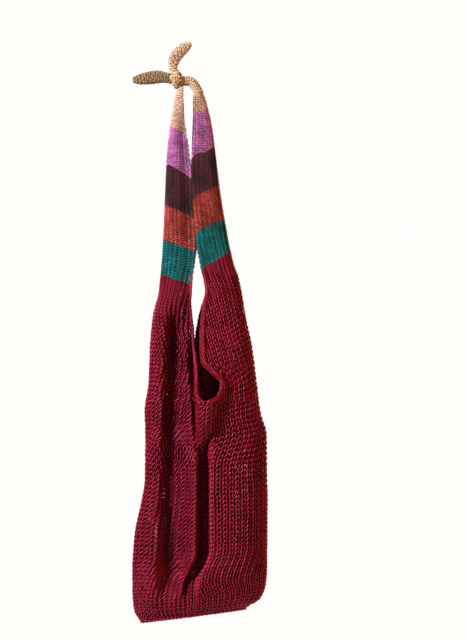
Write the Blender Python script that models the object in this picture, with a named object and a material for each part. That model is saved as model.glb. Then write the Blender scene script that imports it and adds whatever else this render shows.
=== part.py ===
"""Knitted market bag, hanging by the loop above its knotted straps.

Metres, Z up. The origin is the point under the loop where the bag hangs. X runs to the right
of someone who faces the bag's front, and the front faces -Y.

The knit is one tube. Its front and its back are each open at the neckline, so the tube parts
into a left and a right strap, and each strap is a strip curled towards the other. A place on
either half is given by two shares: across, from its front edge (0) round its outer side to its
rear edge (1), and level, from the hanging point (0) to the top of the body (1) to the hem (2).
"""

import math
from collections import namedtuple

import bmesh
import bpy
import numpy as np

# The bag
STRAP_DROP = 0.258  # from the hanging point down to the top of the body
BODY_HEIGHT = 0.472  # from there down to the lowest point of the hem
BODY_WIDTH = 0.183  # the greatest width seen from the front
BODY_DEPTH = 0.084  # the greatest depth, front to back
HEM_RISE = 0.018  # how much higher the hem ends on the right than on the left
HEM_RISE_STARTS = 1.55  # the level from which the knit slants towards the hem
KNIT_THICKNESS = 0.003  # two strands of the yarn
CLEARANCE = 0.0005  # between pieces that touch on the real bag

# The rolled strap ends and their knot
ROLL_RADIUS = 0.0062  # the right strap's end where it is rolled up into the loop
LOOP_DROP = 0.0126  # from the hanging point down to where the roll opens out into the strap
LOOP_FOOT = 0.003  # how much of the roll stands upright on the strap
LOOP_BEND = 0.0095  # the radius that the roll's middle bends to over the hanging point
LOOP_TURN = 25.0  # degrees from level at which the bend runs out into the straight
KNOT_WIDTH = 0.0188
KNOT_DEPTH = 0.0220
KNOT_HEIGHT = 0.0278
KNOT_SHIFT = 0.0046  # how far the knot's middle lies left of the left strap's top
KNOT_HANG = 0.0059  # how far the knot's foot hangs below the hanging point
UPPER_TAIL_RISE = 0.0362
UPPER_TAIL_WIDTH = 0.0166
LEFT_TAIL_REACH = 0.0498
LEFT_TAIL_WIDTH = 0.0174

LEFT = -1
RIGHT = 1

# The outline seen from the front, left and right of the hanging point in shares of BODY_WIDTH,
# and half the depth in shares of BODY_DEPTH.
Outline = namedtuple("Outline", "level left right depth")
OUTLINE = (
    Outline(0.00, -0.074, 0.092, 0.060),
    Outline(0.05, -0.091, 0.118, 0.070),
    Outline(0.09, -0.101, 0.137, 0.080),
    Outline(0.21, -0.129, 0.176, 0.105),
    Outline(0.37, -0.155, 0.206, 0.135),
    Outline(0.55, -0.166, 0.238, 0.170),
    Outline(0.76, -0.179, 0.286, 0.210),
    Outline(0.95, -0.195, 0.342, 0.250),
    Outline(1.04, -0.210, 0.394, 0.290),
    Outline(1.12, -0.257, 0.428, 0.350),
    Outline(1.21, -0.278, 0.476, 0.410),
    Outline(1.30, -0.286, 0.506, 0.450),
    Outline(1.39, -0.316, 0.535, 0.480),
    Outline(1.46, -0.312, 0.583, 0.490),
    Outline(1.59, -0.316, 0.587, 0.500),
    Outline(1.65, -0.340, 0.591, 0.500),
    Outline(1.75, -0.393, 0.588, 0.490),
    Outline(1.86, -0.409, 0.587, 0.450),
    Outline(1.93, -0.407, 0.576, 0.360),
    Outline(1.97, -0.392, 0.535, 0.260),
    Outline(2.00, -0.350, 0.430, 0.170),
)

# The front neckline: the line that the halves meet on, and how far each half's edge keeps
# from it, in shares of BODY_WIDTH. Where both are nought, the halves are one knit.
Neckline = namedtuple("Neckline", "level middle left right")
FRONT_NECKLINE = (
    Neckline(0.00, 0.004, 0.040, 0.041),
    Neckline(0.10, 0.004, 0.042, 0.041),
    Neckline(0.21, 0.010, 0.032, 0.031),
    Neckline(0.31, 0.017, 0.018, 0.018),
    Neckline(0.38, 0.018, 0.010, 0.009),
    Neckline(0.44, 0.024, 0.002, 0.002),
    Neckline(0.60, 0.034, 0.002, 0.002),
    Neckline(0.83, 0.059, 0.002, 0.002),
    Neckline(0.90, 0.065, 0.014, 0.013),
    Neckline(0.97, 0.069, 0.028, 0.028),
    Neckline(1.05, 0.078, 0.054, 0.054),
    Neckline(1.08, 0.066, 0.049, 0.049),
    Neckline(1.13, 0.064, 0.036, 0.036),
    Neckline(1.20, 0.070, 0.025, 0.025),
    Neckline(1.245, 0.082, 0.021, 0.021),
    Neckline(1.275, 0.097, 0.030, 0.074),
    Neckline(1.305, 0.112, 0.045, 0.132),
    Neckline(1.335, 0.126, 0.056, 0.120),
    Neckline(1.355, 0.134, 0.050, 0.070),
    Neckline(1.365, 0.134, 0.024, 0.030),
    Neckline(1.370, 0.134, 0.000, 0.000),
    Neckline(1.48, 0.119, 0.000, 0.000),
    Neckline(1.80, 0.115, 0.000, 0.000),
    Neckline(1.91, 0.015, 0.000, 0.000),
    Neckline(2.00, 0.010, 0.000, 0.000),
)
REAR_NECKLINE = (
    Neckline(0.00, 0.004, 0.046, 0.041),
    Neckline(0.38, 0.018, 0.018, 0.012),
    Neckline(0.83, 0.059, 0.010, 0.006),
    Neckline(1.05, 0.078, 0.060, 0.054),
    Neckline(1.08, 0.066, 0.055, 0.044),
    Neckline(1.12, 0.055, 0.035, 0.026),
    Neckline(1.15, 0.048, 0.022, 0.019),
    Neckline(1.18, 0.045, 0.008, 0.008),
    Neckline(1.19, 0.045, 0.000, 0.000),
    Neckline(1.40, 0.090, 0.000, 0.000),
    Neckline(2.00, 0.060, 0.000, 0.000),
)
BODY_SETTLES = 0.20  # how far down the body, in levels, two curled straps have become one tube
FRONT_JOIN = 1.370
REAR_JOIN = 1.190

# The folds that run down the knit. Their place and half width are shares of BODY_WIDTH, and
# their depth is a share of BODY_DEPTH, above nought for a valley. Each fades in from its first
# level and out before its last one. A fold with no place of its own lies on the neckline's middle.
Fold = namedtuple("Fold", "name sides first last top foot width depth")
BOTH = (LEFT, RIGHT)
FRONT_FOLDS = (
    Fold("left valley", BOTH, 1.04, 1.96, -0.112, -0.220, 0.062, 0.230),
    Fold("middle valley", BOTH, 1.42, 1.98, None, None, 0.058, 0.360),
    Fold("slit beside the neckline", BOTH, 1.12, 1.54, 0.046, 0.078, 0.026, 0.150),
    Fold("bunch under the neckline", BOTH, 1.28, 1.54, 0.140, 0.120, 0.055, -0.100),
    Fold("left strap's inner side", (LEFT,), 0.10, 1.20, -0.020, 0.020, 0.055, 0.080),
)
REAR_FOLDS = (
    Fold("rear left valley", BOTH, 1.10, 1.96, -0.130, -0.200, 0.070, 0.160),
    Fold("rear middle valley", BOTH, 1.20, 1.96, 0.120, 0.090, 0.075, 0.200),
    Fold("rear right valley", BOTH, 1.15, 1.93, 0.330, 0.350, 0.065, 0.120),
)
FOLD_FADE = 0.13  # in levels
FULL_FOLDS = 1.60  # the level that sets how the knit is shared out across its folds

# Where one colour ends and the next begins: the level on the strap's outer side and at its edges.
Border = namedtuple("Border", "outer edge")
BORDERS = {
    LEFT: (
        Border(0.212, 0.270),
        Border(0.417, 0.492),
        Border(0.631, 0.701),
        Border(0.820, 0.881),
        Border(1.001, 1.033),
    ),
    RIGHT: (
        Border(0.117, 0.159),
        Border(0.322, 0.387),
        Border(0.527, 0.595),
        Border(0.693, 0.789),
        Border(0.869, 0.985),
    ),
}
BAND_NAMES = ("tan", "orchid", "plum", "rust", "teal")
EDGE_SETTLES = 0.18  # how far down the body, in levels, its rows still start apart at the edges
OUTER_SETTLES = 0.80  # and on the outer sides

# Colour, roughness
YARNS = {
    "crimson": ((0.300, 0.010, 0.045, 1.0), 0.45),
    "teal": ((0.010, 0.190, 0.200, 1.0), 0.45),
    "rust": ((0.480, 0.080, 0.065, 1.0), 0.50),
    "plum": ((0.040, 0.012, 0.025, 1.0), 0.50),
    "orchid": ((0.280, 0.080, 0.260, 1.0), 0.50),
    "tan": ((0.560, 0.360, 0.230, 1.0), 0.70),
}

# How finely the solids are divided
BODY_COLUMNS = 26
BAND_COLUMNS = 18
BAND_ROWS = 3
BODY_ROWS = 22
FOOT_ROWS = (0.120, 0.095, 0.070, 0.050, 0.035, 0.022, 0.012, 0.005, 0.0)  # above a neckline's foot
HEM_ROWS = (0.975, 0.990)
LEAST_ROW = 0.008  # rows of the even spacing that lie closer than this to one of those are left out
WELD = 0.00002  # corners closer than this are one
ROLL_POINTS = 12
SHEET_LEVELS = 301
SHEET_COLUMNS = 161


def column(table, name, level):
    """One column of a table at any level, on a smooth curve that never overshoots its rows."""
    at = np.array([row.level for row in table])
    value = np.array([getattr(row, name) for row in table])
    rise = np.diff(value) / np.diff(at)
    slope = np.zeros(len(at))
    same_way = rise[:-1] * rise[1:] > 0
    safe = np.where(same_way, rise[:-1] + rise[1:], 1)
    slope[1:-1] = np.where(same_way, 2 * rise[:-1] * rise[1:] / safe, 0)
    level = np.clip(level, at[0], at[-1])
    below = np.clip(np.searchsorted(at, level, side="right") - 1, 0, len(at) - 2)
    step = at[below + 1] - at[below]
    t = (level - at[below]) / step
    return (
        (2 * t**3 - 3 * t**2 + 1) * value[below]
        + (t**3 - 2 * t**2 + t) * step * slope[below]
        + (3 * t**2 - 2 * t**3) * value[below + 1]
        + (t**3 - t**2) * step * slope[below + 1]
    )


def eased(share):
    """From 0 to 1 with a soft start and a soft end."""
    share = np.clip(share, 0, 1)
    return share * share * (3 - 2 * share)


def drop_at(level):
    """How far below the hanging point a level lies."""
    return STRAP_DROP * np.minimum(level, 1) + BODY_HEIGHT * np.maximum(level - 1, 0)


def level_at(drop):
    """The level that lies this far below the hanging point, on a strap."""
    return drop / STRAP_DROP


def fold_depth(folds, neckline, side, x, level):
    """How far the folds push the knit in at a place."""
    pushed = 0
    for fold in folds:
        if side not in fold.sides:
            continue
        if fold.top is None:
            middle = column(neckline, "middle", level)
        else:
            middle = fold.top + (fold.foot - fold.top) * eased((level - fold.first) / (fold.last - fold.first))
        there = eased((level - fold.first) / FOLD_FADE) * eased((fold.last - level) / FOLD_FADE)
        away = (x - middle * BODY_WIDTH) / (fold.width * BODY_WIDTH)
        pushed = pushed + fold.depth * BODY_DEPTH * there * np.exp(-(away**2))
    return pushed


def hem_rise(x, level):
    """How far the hem's slant lifts a place near it."""
    left = column(OUTLINE, "left", level) * BODY_WIDTH
    right = column(OUTLINE, "right", level) * BODY_WIDTH
    begun = eased((level - HEM_RISE_STARTS) / (2 - HEM_RISE_STARTS))
    return HEM_RISE * begun * (x - left) / (right - left)


def section(side, level, lean):
    """The knit at a level, where lean goes from -1 at the front edge over 0 outermost to 1 at the rear."""
    side_name = "left" if side == LEFT else "right"
    outer = column(OUTLINE, side_name, level)
    half_depth = column(OUTLINE, "depth", level) * BODY_DEPTH
    on_body = eased((level - 1) / BODY_SETTLES)
    centres = []
    reaches = []
    for neckline in (FRONT_NECKLINE, REAR_NECKLINE):
        gap = side * column(neckline, side_name, level)
        centres.append(column(neckline, "middle", level) + gap * (1 - on_body))
        reaches.append(np.arccos(gap * on_body / (outer - centres[-1])))
    turn = lean * np.where(lean < 0, *reaches)
    centre = np.where(lean < 0, *centres)
    x = BODY_WIDTH * (centre + (outer - centre) * np.cos(turn))
    y = half_depth * np.sin(turn)
    pushed = np.where(
        lean < 0,
        fold_depth(FRONT_FOLDS, FRONT_NECKLINE, side, x, level),
        -fold_depth(REAR_FOLDS, REAR_NECKLINE, side, x, level),
    )
    z = hem_rise(x, level) - drop_at(level)
    return np.stack([x, y + pushed, z + 0 * x], axis=-1)


def half_sheet(side):
    """Points of one half, a row for each level, with as many across a fold as its length needs."""
    leans = np.linspace(-1, 1, SHEET_COLUMNS)
    folded = section(side, FULL_FOLDS, leans)
    along = np.append(0, np.cumsum(np.linalg.norm(np.diff(folded, axis=0), axis=1)))
    leans = np.interp(np.linspace(0, along[-1], SHEET_COLUMNS), along, leans)
    return section(side, np.linspace(0, 2, SHEET_LEVELS)[:, None], leans[None, :])


def sheet_normals(side, points):
    """The outward direction of the knit at each point of a half."""
    facing = -side * np.cross(np.gradient(points, axis=1), np.gradient(points, axis=0))
    return facing / np.linalg.norm(facing, axis=2, keepdims=True)


SHEETS = {side: half_sheet(side) for side in (LEFT, RIGHT)}
NORMALS = {side: sheet_normals(side, SHEETS[side]) for side in (LEFT, RIGHT)}


def on_sheet(side, across, level, sheets=SHEETS):
    """The point of a half at a share across and a level, or what another sheet holds there."""
    sheet = sheets[side]
    row = np.clip(level / 2, 0, 1) * (SHEET_LEVELS - 1)
    col = np.clip(across, 0, 1) * (SHEET_COLUMNS - 1)
    i = np.minimum(row.astype(int), SHEET_LEVELS - 2)
    j = np.minimum(col.astype(int), SHEET_COLUMNS - 2)
    s = (row - i)[..., None]
    t = (col - j)[..., None]
    upper = sheet[i, j] * (1 - t) + sheet[i, j + 1] * t
    lower = sheet[i + 1, j] * (1 - t) + sheet[i + 1, j + 1] * t
    return upper * (1 - s) + lower * s


def outer_share(across):
    """1 on a half's outer side, 0 at its two edges."""
    return 1 - np.abs(2 * across - 1)


def border_level(border, across):
    return border.edge + (border.outer - border.edge) * outer_share(across)


def body_level(side, across, row):
    """The level of a row of the body, which starts at the last border and ends level at the hem."""
    start = BORDERS[side][-1]
    edge_lead = (start.edge - 1) * np.clip(1 - row / EDGE_SETTLES, 0, 1)
    outer_lead = (start.outer - 1) * np.clip(1 - row / OUTER_SETTLES, 0, 1)
    out = outer_share(across)
    return 1 + row + edge_lead * (1 - out) + outer_lead * out


def clear_collection(name):
    for thing in list(bpy.data.objects):
        bpy.data.objects.remove(thing, do_unlink=True)
    made = bpy.data.collections.new(name)
    bpy.context.scene.collection.children.link(made)
    return made


def yarn_material(name):
    colour, roughness = YARNS[name]
    made = bpy.data.materials.new(name + "_yarn")
    made.use_nodes = True
    shader = made.node_tree.nodes["Principled BSDF"]
    shader.inputs["Base Color"].default_value = colour
    shader.inputs["Roughness"].default_value = roughness
    shader.inputs["Metallic"].default_value = 0.0
    return made


def add_object(name, data, yarn):
    thing = bpy.data.objects.new(name, data)
    data.materials.append(MATERIALS[yarn])
    BAG.objects.link(thing)
    return thing


def loft(bm, side, across, levels):
    """Faces between rows of a half, each row a level for every share across, and its last points."""
    outward = bm.verts.layers.float_vector["outward"]
    above = None
    for level in levels:
        row = []
        for point, facing in zip(on_sheet(side, across, level), on_sheet(side, across, level, NORMALS)):
            vertex = bm.verts.new(point)
            vertex[outward] = facing
            row.append(vertex)
        for k in range(len(row) - 1 if above else 0):
            corners = (above[k], row[k], row[k + 1], above[k + 1])
            bm.faces.new(corners if side == LEFT else corners[::-1])
        above = row
    return above


def open_surface():
    bm = bmesh.new()
    bm.verts.layers.float_vector.new("outward")
    return bm


def wall(name, bm, yarn):
    """A knit wall: the open surface, and a copy of it extruded into the bag."""
    outward = bm.verts.layers.float_vector["outward"]
    extruded = bmesh.ops.extrude_face_region(bm, geom=bm.faces[:])
    for piece in extruded["geom"]:
        if isinstance(piece, bmesh.types.BMVert):
            piece.co -= piece[outward].normalized() * KNIT_THICKNESS
    bmesh.ops.recalc_face_normals(bm, faces=bm.faces)
    # Rims that face each other are twisted alike, so both are split along the same diagonals.
    bmesh.ops.triangulate(bm, faces=bm.faces, quad_method="SHORT_EDGE")
    mesh = bpy.data.meshes.new(name)
    bm.to_mesh(mesh)
    bm.free()
    mesh.shade_smooth()
    add_object(name, mesh, yarn)


def strap_band(side, index, top):
    """One colour of a strap, from the level above it, given by a function of across, to its border."""
    half_gap = level_at(CLEARANCE) / 2
    across = np.linspace(0, 1, BAND_COLUMNS + 1)
    upper = top(across) + half_gap
    lower = border_level(BORDERS[side][index], across) - half_gap
    bm = open_surface()
    loft(bm, side, across, [upper + (lower - upper) * share for share in np.linspace(0, 1, BAND_ROWS + 1)])
    side_name = "left" if side == LEFT else "right"
    wall(side_name + "_strap_" + BAND_NAMES[index], bm, BAND_NAMES[index])


def strap(side, top_drop):
    """A strap's five colours, from where it leaves the knot or the loop to the body."""
    strap_band(side, 0, lambda across: level_at(top_drop) + 0 * across)
    for index in range(1, len(BAND_NAMES)):
        above = BORDERS[side][index - 1]
        strap_band(side, index, lambda across, above=above: border_level(above, across))


def body_rows():
    """The rows of the body, closer together at the necklines' feet and at the hem."""
    front = [FRONT_JOIN - 1 - above for above in FOOT_ROWS]
    rear = [REAR_JOIN - 1 - above for above in FOOT_ROWS[-3:]]
    chosen = np.array([*front, *rear, *HEM_ROWS])
    even = [row for row in np.linspace(0, 1, BODY_ROWS + 1) if np.abs(chosen - row).min() > LEAST_ROW]
    return np.sort(np.concatenate([even, chosen]))


def body():
    """The crimson tube with its two necklines and its closed foot."""
    bm = open_surface()
    across = np.linspace(0, 1, BODY_COLUMNS + 1)
    half_gap = level_at(CLEARANCE) / 2
    for side in (LEFT, RIGHT):
        levels = [body_level(side, across, row) for row in body_rows()]
        levels[0] = levels[0] + half_gap
        foot = loft(bm, side, across, levels)
        for k in range(BODY_COLUMNS // 2):
            corners = [foot[k], foot[-k - 1], foot[-k - 2], foot[k + 1]]
            corners = list(dict.fromkeys(corners))
            bm.faces.new(corners if side == LEFT else corners[::-1])
    bmesh.ops.remove_doubles(bm, verts=bm.verts, dist=WELD)
    wall("body", bm, "crimson")


def knot_centre():
    """Left of the left strap's top, with its foot just below the hanging point."""
    top = on_sheet(LEFT, np.array([0.0, 0.5]), np.full(2, level_at(KNOT_HANG)))
    return np.array([top[:, 0].mean() - KNOT_SHIFT, 0.0, KNOT_HEIGHT / 2 - KNOT_HANG])


def knot_edge(direction):
    """The place on the knot's smooth outer form that lies in a direction from its middle."""
    direction = np.array(direction, float)
    half = np.array([KNOT_WIDTH, KNOT_DEPTH, KNOT_HEIGHT]) / 2
    return knot_centre() + direction / np.linalg.norm(direction / half)


# The wraps of the knot are parted by grooves: the groove's slope, its height and its depth, in
# shares of the knot's half height.
Groove = namedtuple("Groove", "slope height depth")
GROOVES = (
    Groove(0.9, 0.35, 0.13),
    Groove(0.9, -0.40, 0.13),
    Groove(-1.1, 0.05, 0.08),
)
GROOVE_WIDTH = 0.20


def knot():
    """The straps' overhand knot, a lump with grooves between its wraps."""
    bm = bmesh.new()
    bmesh.ops.create_uvsphere(bm, u_segments=22, v_segments=15, radius=1)
    half = np.array([KNOT_WIDTH, KNOT_DEPTH, KNOT_HEIGHT]) / 2
    centre = knot_centre()
    for vertex in bm.verts:
        place = np.array(vertex.co)
        shrink = 1.0
        for groove in GROOVES:
            away = place[2] - groove.slope * place[0] * math.copysign(1, -place[1]) - groove.height
            shrink -= groove.depth * math.exp(-((away / GROOVE_WIDTH) ** 2))
        vertex.co = centre + half * place * shrink
    mesh = bpy.data.meshes.new("knot")
    bm.to_mesh(mesh)
    bm.free()
    mesh.shade_smooth()
    add_object("knot", mesh, "tan")


# A roll's path and thickness: x and z in shares of its length, and its radius in shares of half
# its width.
Roll = namedtuple("Roll", "level x z radius")
UPPER_TAIL = (
    Roll(0.0, 0.00, 0.00, 0.50),
    Roll(0.2, -0.05, 0.20, 0.72),
    Roll(0.4, -0.01, 0.45, 0.94),
    Roll(0.6, 0.14, 0.68, 1.00),
    Roll(0.8, 0.35, 0.85, 0.88),
    Roll(0.9, 0.49, 0.92, 0.64),
    Roll(1.0, 0.61, 1.00, 0.22),
)
LEFT_TAIL = (
    Roll(0.0, 0.00, 0.00, 0.78),
    Roll(0.2, -0.17, 0.01, 0.82),
    Roll(0.4, -0.35, 0.00, 0.97),
    Roll(0.6, -0.54, -0.03, 1.00),
    Roll(0.8, -0.75, -0.06, 0.84),
    Roll(0.9, -0.90, -0.08, 0.56),
    Roll(1.0, -1.00, -0.08, 0.20),
)


def roll(name, places, radii):
    """A strip of knit rolled up lengthwise, drawn along its middle."""
    curve = bpy.data.curves.new(name, "CURVE")
    curve.dimensions = "3D"
    curve.bevel_depth = 1.0
    curve.bevel_resolution = 3
    curve.use_fill_caps = True
    spline = curve.splines.new("POLY")
    spline.points.add(len(places) - 1)
    for point, place, radius in zip(spline.points, places, radii):
        point.co = (*place, 1)
        point.radius = radius
    add_object(name, curve, "tan")


def tail(name, table, length, width, direction):
    """A strap's loose end, from the side of the knot that a direction names."""
    outward = np.array(direction, float) / np.linalg.norm(direction)
    start = knot_edge(direction) + outward * CLEARANCE
    shares = np.linspace(0, 1, ROLL_POINTS)
    x = column(table, "x", shares) * length
    z = column(table, "z", shares) * length
    places = [start + np.array([dx, 0, dz]) for dx, dz in zip(x, z)]
    roll(name, places, column(table, "radius", shares) * width / 2)


def hanging_loop():
    """The right strap's rolled end, up from the strap, over the hanging point, into the knot."""
    top = on_sheet(RIGHT, np.array([0.0, 0.5]), np.full(2, level_at(LOOP_DROP)))
    foot = np.array([top[:, 0].mean(), 0.0, -LOOP_DROP])
    upright = foot + np.array([0, 0, LOOP_FOOT])
    seat = knot_edge((1, 0, 0)) + np.array([CLEARANCE, 0, 0])
    seat[2] = ROLL_RADIUS
    turns = np.radians(np.linspace(LOOP_TURN, 90, ROLL_POINTS // 2))
    arc = [
        np.array([LOOP_BEND * math.cos(turn), 0.0, ROLL_RADIUS + LOOP_BEND * (math.sin(turn) - 1)])
        for turn in turns
    ]
    places = [foot, upright, *arc, seat]
    roll("hanging_loop", places, np.full(len(places), ROLL_RADIUS - CLEARANCE / 2))


BAG = clear_collection("market_bag")
MATERIALS = {name: yarn_material(name) for name in YARNS}
body()
strap(LEFT, KNOT_HANG + CLEARANCE)
strap(RIGHT, LOOP_DROP + CLEARANCE)
knot()
hanging_loop()
tail("upper_tail", UPPER_TAIL, UPPER_TAIL_RISE, UPPER_TAIL_WIDTH, (-0.35, 0, 1))
tail("left_tail", LEFT_TAIL, LEFT_TAIL_REACH, LEFT_TAIL_WIDTH, (-1, 0, 0.16))
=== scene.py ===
# %% [markdown]
# # A hand-knitted market bag
# The bag hangs by the knotted ends of its two shoulder straps. It is knitted in one piece of
# shiny cotton yarn, so what the eye sees is not a cloth with a pattern on it but thousands of
# loops of yarn with air between them. A bump map on a solid wall could hint at loops, but it
# would have no holes and a smooth outline. So this lesson knits the bag: it works out the path
# that the yarn takes, course by course, and gives that path the thickness of yarn. The solid
# model is loaded first, because the yarn has to lie where its wall is.

import math
from collections import namedtuple

import bmesh
import bpy
import numpy as np
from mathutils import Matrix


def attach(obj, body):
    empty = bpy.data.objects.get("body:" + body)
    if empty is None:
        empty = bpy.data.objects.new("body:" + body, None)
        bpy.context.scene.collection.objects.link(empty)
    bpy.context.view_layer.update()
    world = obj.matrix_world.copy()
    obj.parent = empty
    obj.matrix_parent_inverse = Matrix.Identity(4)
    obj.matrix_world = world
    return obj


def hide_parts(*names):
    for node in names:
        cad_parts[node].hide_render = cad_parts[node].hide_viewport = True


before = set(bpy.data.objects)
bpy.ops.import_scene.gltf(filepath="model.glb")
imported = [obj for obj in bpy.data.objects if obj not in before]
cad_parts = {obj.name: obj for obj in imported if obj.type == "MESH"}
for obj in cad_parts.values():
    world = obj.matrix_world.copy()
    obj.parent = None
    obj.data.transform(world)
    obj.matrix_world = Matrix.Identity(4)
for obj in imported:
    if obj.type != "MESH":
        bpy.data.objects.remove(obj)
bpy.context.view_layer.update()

# %% [markdown]
# ## Camera
# The bag is seen straight on from chest height. A long lens from three metres keeps the
# picture free of perspective, as on a product photograph. The lens follows from the height of
# the picture at the bag, so that the framing needs no trial and error.

# %% Camera
PICTURE_CENTRE = (0.0619, -0.3189)  # x and z of the bag's plane in the middle of the picture
PICTURE_HEIGHT = 0.8704  # metres of the bag's plane from the bottom of the picture to its top
CAMERA_DISTANCE = 3.0  # metres in front of the bag
SENSOR = 36.0  # millimetres

lens = bpy.data.cameras.new("camera")
lens.sensor_width = SENSOR
lens.lens = SENSOR * CAMERA_DISTANCE / PICTURE_HEIGHT
camera = bpy.data.objects.new("camera", lens)
camera.location = (PICTURE_CENTRE[0], -CAMERA_DISTANCE, PICTURE_CENTRE[1])
camera.rotation_euler = (math.radians(90), 0, 0)
bpy.context.scene.collection.objects.link(camera)
bpy.context.scene.camera = camera
print("lens", round(lens.lens, 1), "mm")

# %% [markdown]
# ## Light
# A square light half a metre wide, high on the left, gives every loop a bright and a dark side
# with a soft change between them. A weaker warm one on the right keeps the far side from going
# black, and a third one lights the rear, which the picture doesn't show but a walk round the bag
# does. The world is near-white and shines through the holes of the knit, but it lights the bag
# only a little, because light from all round would wash the folds out.

# %% World and lights
WORLD_WHITE = (1.0, 0.99, 0.97, 1.0)
WORLD_WARMTH = (1.0, 0.80, 0.62, 1.0)
WORLD_LIGHT = 0.10  # what the world gives to the bag, as a share of what the camera sees of it


def node(tree, kind, settings=None):
    """A new node, with some of its sockets set."""
    made = tree.nodes.new("ShaderNode" + kind)
    for socket, value in (settings or {}).items():
        made.inputs[socket].default_value = value
    return made


scene = bpy.context.scene
scene.view_settings.view_transform = "Standard"
world = bpy.data.worlds.new("studio")
scene.world = world
world.use_nodes = True
sky = world.node_tree
sky.nodes.clear()
seen = node(sky, "Background", {"Color": WORLD_WHITE})
shed = node(sky, "Background", {"Color": WORLD_WARMTH, "Strength": WORLD_LIGHT})
rays = node(sky, "LightPath")
mix = node(sky, "MixShader")
shown = node(sky, "OutputWorld")
sky.links.new(rays.outputs["Is Camera Ray"], mix.inputs["Fac"])
sky.links.new(shed.outputs["Background"], mix.inputs[1])
sky.links.new(seen.outputs["Background"], mix.inputs[2])
sky.links.new(mix.outputs["Shader"], shown.inputs["Surface"])

Lamp = namedtuple("Lamp", "name place size power colour")  # in metres and watts
LAMPS = (
    Lamp("key", (-2.2, -1.55, 1.0), 0.5, 184.0, (1.0, 0.98, 1.0)),
    Lamp("fill", (2.0, -0.9, -0.2), 1.0, 31.0, (1.0, 0.50, 0.20)),
    Lamp("rear", (0.9, 2.4, 0.8), 1.2, 70.0, (1.0, 0.95, 0.90)),
)
aim = camera.location.copy()
aim.y = 0.0
for lamp in LAMPS:
    data = bpy.data.lights.new(lamp.name, "AREA")
    data.size = lamp.size
    data.energy = lamp.power
    data.color = lamp.colour
    thing = bpy.data.objects.new(lamp.name, data)
    thing.location = lamp.place
    thing.rotation_euler = (aim - thing.location).to_track_quat("-Z", "Y").to_euler()
    scene.collection.objects.link(thing)
print(len(LAMPS), "lamps")

# %% [markdown]
# ## Floor
# A pale round floor lies below the bag. The bag hangs well clear of it.

# %% Floor
FLOOR_DROP = 1.0
FLOOR_RADIUS = 0.5
FLOOR_CORNERS = 96
FLOOR_COLOUR = (0.80, 0.79, 0.77, 1.0)
FLOOR_ROUGHNESS = 0.8

paint = bpy.data.materials.new("pale_floor")
paint.use_nodes = True
shader = paint.node_tree.nodes["Principled BSDF"]
shader.inputs["Base Color"].default_value = FLOOR_COLOUR
shader.inputs["Roughness"].default_value = FLOOR_ROUGHNESS

bm = bmesh.new()
bmesh.ops.create_circle(bm, cap_ends=True, segments=FLOOR_CORNERS, radius=FLOOR_RADIUS)
bmesh.ops.translate(bm, verts=bm.verts, vec=(PICTURE_CENTRE[0], 0, -FLOOR_DROP))
mesh = bpy.data.meshes.new("floor")
bm.to_mesh(mesh)
bm.free()
mesh.materials.append(paint)
floor = bpy.data.objects.new("floor", mesh)
scene.collection.objects.link(floor)
print("floor", FLOOR_DROP, "m below the hanging point")

# %% [markdown]
# ## The shape of the cloth
# The knit is one tube that parts at its front and its rear neckline into two straps. A place on
# the left or the right half is named by two numbers. One goes across, from the half's front
# edge (0) round its outer side to its rear edge (1). The other is a level, from the hanging
# point (0) to the top of the body (1) to the hem (2). Short tables say how wide and how deep
# the bag is at some levels, where its halves part, and where its folds run. Their lengths are
# shares of the body's width and depth. The outline is that of the solid model, so the yarn lies
# where the solid wall is.

# %% Sizes
STRAP_DROP = 0.258  # metres from the hanging point down to the top of the body
BODY_HEIGHT = 0.472
BODY_WIDTH = 0.183
BODY_DEPTH = 0.084
HEM_RISE = 0.018  # how much higher the hem hangs at its right end than at its left
HEM_RISE_STARTS = 1.55  # the level from which the courses begin to rise
BODY_SETTLES = 0.20  # levels in which the two bands of the straps turn into the body's one tube
FRONT_JOIN = 1.362  # the level of the front neckline's foot
REAR_JOIN = 1.190
LEFT = -1
RIGHT = 1
BOTH = (LEFT, RIGHT)
SIDE_NAMES = {LEFT: "left", RIGHT: "right"}
print("the bag hangs", STRAP_DROP + BODY_HEIGHT, "m down")

# %% Outline
Outline = namedtuple("Outline", "level left right depth")
OUTLINE = (
    Outline(0.00, -0.074, 0.092, 0.060),
    Outline(0.05, -0.091, 0.118, 0.070),
    Outline(0.09, -0.101, 0.137, 0.080),
    Outline(0.21, -0.129, 0.176, 0.105),
    Outline(0.37, -0.155, 0.206, 0.135),
    Outline(0.55, -0.166, 0.238, 0.170),
    Outline(0.76, -0.179, 0.286, 0.210),
    Outline(0.95, -0.195, 0.342, 0.250),
    Outline(1.04, -0.210, 0.394, 0.290),
    Outline(1.12, -0.257, 0.428, 0.350),
    Outline(1.21, -0.278, 0.476, 0.410),
    Outline(1.30, -0.286, 0.506, 0.450),
    Outline(1.39, -0.316, 0.535, 0.480),
    Outline(1.46, -0.312, 0.583, 0.490),
    Outline(1.59, -0.316, 0.587, 0.500),
    Outline(1.65, -0.340, 0.591, 0.500),
    Outline(1.75, -0.393, 0.588, 0.490),
    Outline(1.86, -0.409, 0.587, 0.450),
    Outline(1.93, -0.407, 0.576, 0.360),
    Outline(1.97, -0.392, 0.535, 0.260),
    Outline(2.00, -0.350, 0.430, 0.170),
)
print(len(OUTLINE), "rows of outline")

# %% [markdown]
# A neckline's row gives its middle, and how far its edges lie to the left and to the right of
# that. Below its foot the middle is where the two halves of the body meet.

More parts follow.
